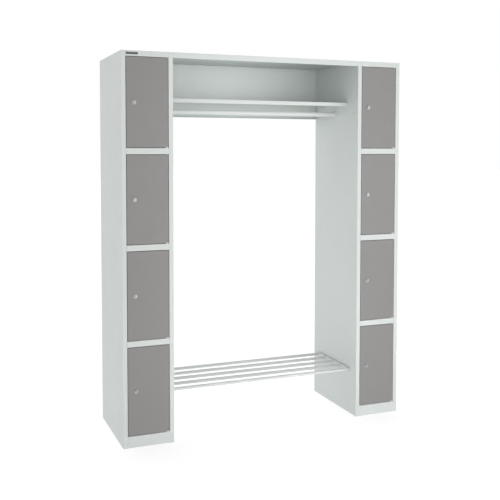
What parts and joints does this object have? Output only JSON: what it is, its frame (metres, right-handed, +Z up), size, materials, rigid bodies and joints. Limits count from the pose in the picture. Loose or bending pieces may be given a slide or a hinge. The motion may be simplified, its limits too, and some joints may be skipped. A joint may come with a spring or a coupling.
{
  "type": "locker wardrobe",
  "caption": "Free-standing steel locker wardrobe: two locker columns with hinged lockable doors joined by an open bay with hat shelf, coat rail and shoe rack.",
  "frame": {"origin": "on the floor, at the middle of the whole object's box (lock plugs included)", "axes": "+X to the right seen from the front, +Y from the doors to the back, +Z up"},
  "size_m": [1.5, 0.486, 1.87],
  "materials": {
    "frame_grey": "light grey powder coat, satin",
    "rail_grey": "light grey powder coat, satin",
    "door_grey": "mid grey powder coat, satin",
    "lock_metal": "satin nickel",
    "zinc_steel": "zinc plated",
    "bush_plastic": "light grey plastic",
    "foot_plastic": "black plastic",
    "plate_dark": "bare dark plate"
  },
  "bodies": {
    "root": {"left_outer_side": "frame_grey", "left_inner_side": "frame_grey", "left_back": "frame_grey", "left_top": "frame_grey", "left_floor": "frame_grey", "left_shelf_1": "frame_grey", "left_shelf_2": "frame_grey", "left_shelf_3": "frame_grey", "right_outer_side": "frame_grey", "right_inner_side": "frame_grey", "right_back": "frame_grey", "right_top": "frame_grey", "right_floor": "frame_grey", "right_shelf_1": "frame_grey", "right_shelf_2": "frame_grey", "right_shelf_3": "frame_grey", "hinge_pins": "zinc_steel", "hinge_bushes": "bush_plastic", "levelling_feet": "foot_plastic", "assembly_screws": "zinc_steel", "bay_top": "frame_grey", "bay_back": "frame_grey", "hat_shelf": "frame_grey", "coat_rail": "rail_grey", "coat_rail_sockets": "rail_grey", "shoe_rack_tubes": "rail_grey", "shoe_rack_brackets": "rail_grey", "header_plate": "plate_dark"},
    "left_door_1": {"left_door_1": "door_grey", "left_lock_case_1": "lock_metal"},
    "left_lock_1": {"left_knob_1": "lock_metal", "left_cam_1": "zinc_steel"},
    "left_door_2": {"left_door_2": "door_grey", "left_lock_case_2": "lock_metal"},
    "left_lock_2": {"left_knob_2": "lock_metal", "left_cam_2": "zinc_steel"},
    "left_door_3": {"left_door_3": "door_grey", "left_lock_case_3": "lock_metal"},
    "left_lock_3": {"left_knob_3": "lock_metal", "left_cam_3": "zinc_steel"},
    "left_door_4": {"left_door_4": "door_grey", "left_lock_case_4": "lock_metal"},
    "left_lock_4": {"left_knob_4": "lock_metal", "left_cam_4": "zinc_steel"},
    "right_door_1": {"right_door_1": "door_grey", "right_lock_case_1": "lock_metal"},
    "right_lock_1": {"right_knob_1": "lock_metal", "right_cam_1": "zinc_steel"},
    "right_door_2": {"right_door_2": "door_grey", "right_lock_case_2": "lock_metal"},
    "right_lock_2": {"right_knob_2": "lock_metal", "right_cam_2": "zinc_steel"},
    "right_door_3": {"right_door_3": "door_grey", "right_lock_case_3": "lock_metal"},
    "right_lock_3": {"right_knob_3": "lock_metal", "right_cam_3": "zinc_steel"},
    "right_door_4": {"right_door_4": "door_grey", "right_lock_case_4": "lock_metal"},
    "right_lock_4": {"right_knob_4": "lock_metal", "right_cam_4": "zinc_steel"}
  },
  "joints": [
    {"name": "left_door_1_swing", "type": "hinge", "parent": "root", "child": "left_door_1", "pos_m": [-0.53053, -0.2325, 1.63138], "axis": [0, 0, 1], "range_deg": [0, 110]},
    {"name": "left_lock_1_turn", "type": "hinge", "parent": "left_door_1", "child": "left_lock_1", "pos_m": [-0.688, -0.237, 1.63138], "axis": [0, 1, 0], "range_deg": [0, 90]},
    {"name": "left_door_2_swing", "type": "hinge", "parent": "root", "child": "left_door_2", "pos_m": [-0.53053, -0.2325, 1.17712], "axis": [0, 0, 1], "range_deg": [0, 110]},
    {"name": "left_lock_2_turn", "type": "hinge", "parent": "left_door_2", "child": "left_lock_2", "pos_m": [-0.688, -0.237, 1.17712], "axis": [0, 1, 0], "range_deg": [0, 90]},
    {"name": "left_door_3_swing", "type": "hinge", "parent": "root", "child": "left_door_3", "pos_m": [-0.53053, -0.2325, 0.72288], "axis": [0, 0, 1], "range_deg": [0, 110]},
    {"name": "left_lock_3_turn", "type": "hinge", "parent": "left_door_3", "child": "left_lock_3", "pos_m": [-0.688, -0.237, 0.72288], "axis": [0, 1, 0], "range_deg": [0, 90]},
    {"name": "left_door_4_swing", "type": "hinge", "parent": "root", "child": "left_door_4", "pos_m": [-0.53053, -0.2325, 0.26863], "axis": [0, 0, 1], "range_deg": [0, 110]},
    {"name": "left_lock_4_turn", "type": "hinge", "parent": "left_door_4", "child": "left_lock_4", "pos_m": [-0.688, -0.237, 0.26863], "axis": [0, 1, 0], "range_deg": [0, 90]},
    {"name": "right_door_1_swing", "type": "hinge", "parent": "root", "child": "right_door_1", "pos_m": [0.71947, -0.2325, 1.63138], "axis": [0, 0, 1], "range_deg": [0, 110]},
    {"name": "right_lock_1_turn", "type": "hinge", "parent": "right_door_1", "child": "right_lock_1", "pos_m": [0.562, -0.237, 1.63138], "axis": [0, 1, 0], "range_deg": [0, 90]},
    {"name": "right_door_2_swing", "type": "hinge", "parent": "root", "child": "right_door_2", "pos_m": [0.71947, -0.2325, 1.17712], "axis": [0, 0, 1], "range_deg": [0, 110]},
    {"name": "right_lock_2_turn", "type": "hinge", "parent": "right_door_2", "child": "right_lock_2", "pos_m": [0.562, -0.237, 1.17712], "axis": [0, 1, 0], "range_deg": [0, 90]},
    {"name": "right_door_3_swing", "type": "hinge", "parent": "root", "child": "right_door_3", "pos_m": [0.71947, -0.2325, 0.72288], "axis": [0, 0, 1], "range_deg": [0, 110]},
    {"name": "right_lock_3_turn", "type": "hinge", "parent": "right_door_3", "child": "right_lock_3", "pos_m": [0.562, -0.237, 0.72288], "axis": [0, 1, 0], "range_deg": [0, 90]},
    {"name": "right_door_4_swing", "type": "hinge", "parent": "root", "child": "right_door_4", "pos_m": [0.71947, -0.2325, 0.26863], "axis": [0, 0, 1], "range_deg": [0, 110]},
    {"name": "right_lock_4_turn", "type": "hinge", "parent": "right_door_4", "child": "right_lock_4", "pos_m": [0.562, -0.237, 0.26863], "axis": [0, 1, 0], "range_deg": [0, 90]}
  ]
}
